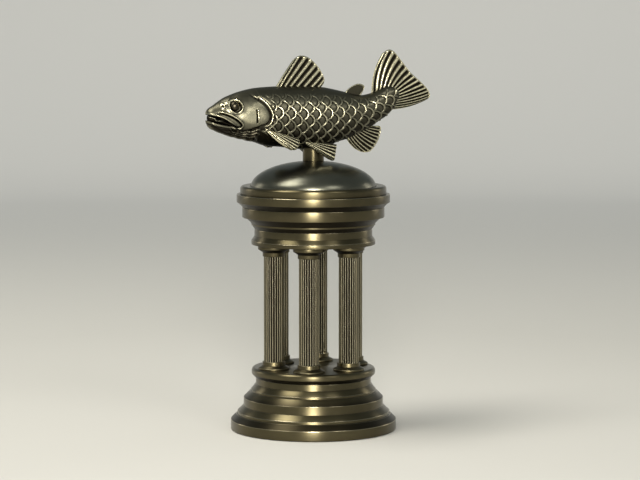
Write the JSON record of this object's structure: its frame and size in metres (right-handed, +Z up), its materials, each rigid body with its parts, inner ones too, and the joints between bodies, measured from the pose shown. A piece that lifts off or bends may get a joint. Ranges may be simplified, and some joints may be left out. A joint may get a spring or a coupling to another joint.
{
  "type": "fishing trophy",
  "caption": "Trophy with a cast trout on a short post above a round, domed temple of fluted columns on a stepped turned base.",
  "frame": {"origin": "centre of the felt pad's underside, on the axis of the turned base", "axes": "+Z up along the base's axis; -Y towards the front; the fish lies across X with its head towards -X, turned 27 degrees to the front, and its tail towards +X"},
  "size_m": [0.176, 0.13, 0.2972],
  "materials": {
    "turned_brass": "antique brass, turned and polished, with a dark olive-brown tone",
    "column_brass": "antique brass, polished, with darkened flutes",
    "dome_bronze": "darker bronze tone, smooth and glossy",
    "fish_bronze": "antique bronze casting, polished on its high places and dark in its recesses",
    "fin_bronze": "antique bronze casting with bright rays and dark webs",
    "eye_bronze": "highly polished antique bronze",
    "zinc_steel": "zinc-plated steel",
    "felt": "dark green wool felt"
  },
  "bodies": {
    "root": {"felt_pad": "felt", "bottom_plate": "zinc_steel", "base_foot": "turned_brass", "base_middle": "turned_brass", "base_upper": "turned_brass", "floor_disc": "turned_brass", "column_base_1": "column_brass", "column_base_2": "column_brass", "column_base_3": "column_brass", "column_base_4": "column_brass", "column_base_5": "column_brass", "column_base_6": "column_brass", "column_shaft_1": "column_brass", "column_shaft_2": "column_brass", "column_shaft_3": "column_brass", "column_shaft_4": "column_brass", "column_shaft_5": "column_brass", "column_shaft_6": "column_brass", "column_capital_1": "column_brass", "column_capital_2": "column_brass", "column_capital_3": "column_brass", "column_capital_4": "column_brass", "column_capital_5": "column_brass", "column_capital_6": "column_brass", "tie_rods": "zinc_steel", "tie_rod_nuts": "zinc_steel", "tie_rod_washers": "zinc_steel", "soffit_plate": "turned_brass", "architrave": "turned_brass", "bed_moulding": "turned_brass", "frieze": "turned_brass", "cornice": "turned_brass", "cornice_rim": "turned_brass", "dome": "dome_bronze", "centre_stud": "zinc_steel", "cap_nut": "turned_brass", "cap_nut_washer": "turned_brass", "post": "turned_brass", "fish_trunk": "fish_bronze", "fish_head": "fish_bronze", "lower_jaw": "fish_bronze", "left_eye": "eye_bronze", "right_eye": "eye_bronze", "dorsal_fin": "fin_bronze", "adipose_fin": "fin_bronze", "tail_fin": "fin_bronze", "anal_fin": "fin_bronze", "left_pectoral_fin": "fin_bronze", "right_pectoral_fin": "fin_bronze", "left_pelvic_fin": "fin_bronze", "right_pelvic_fin": "fin_bronze"}
  },
  "joints": []
}
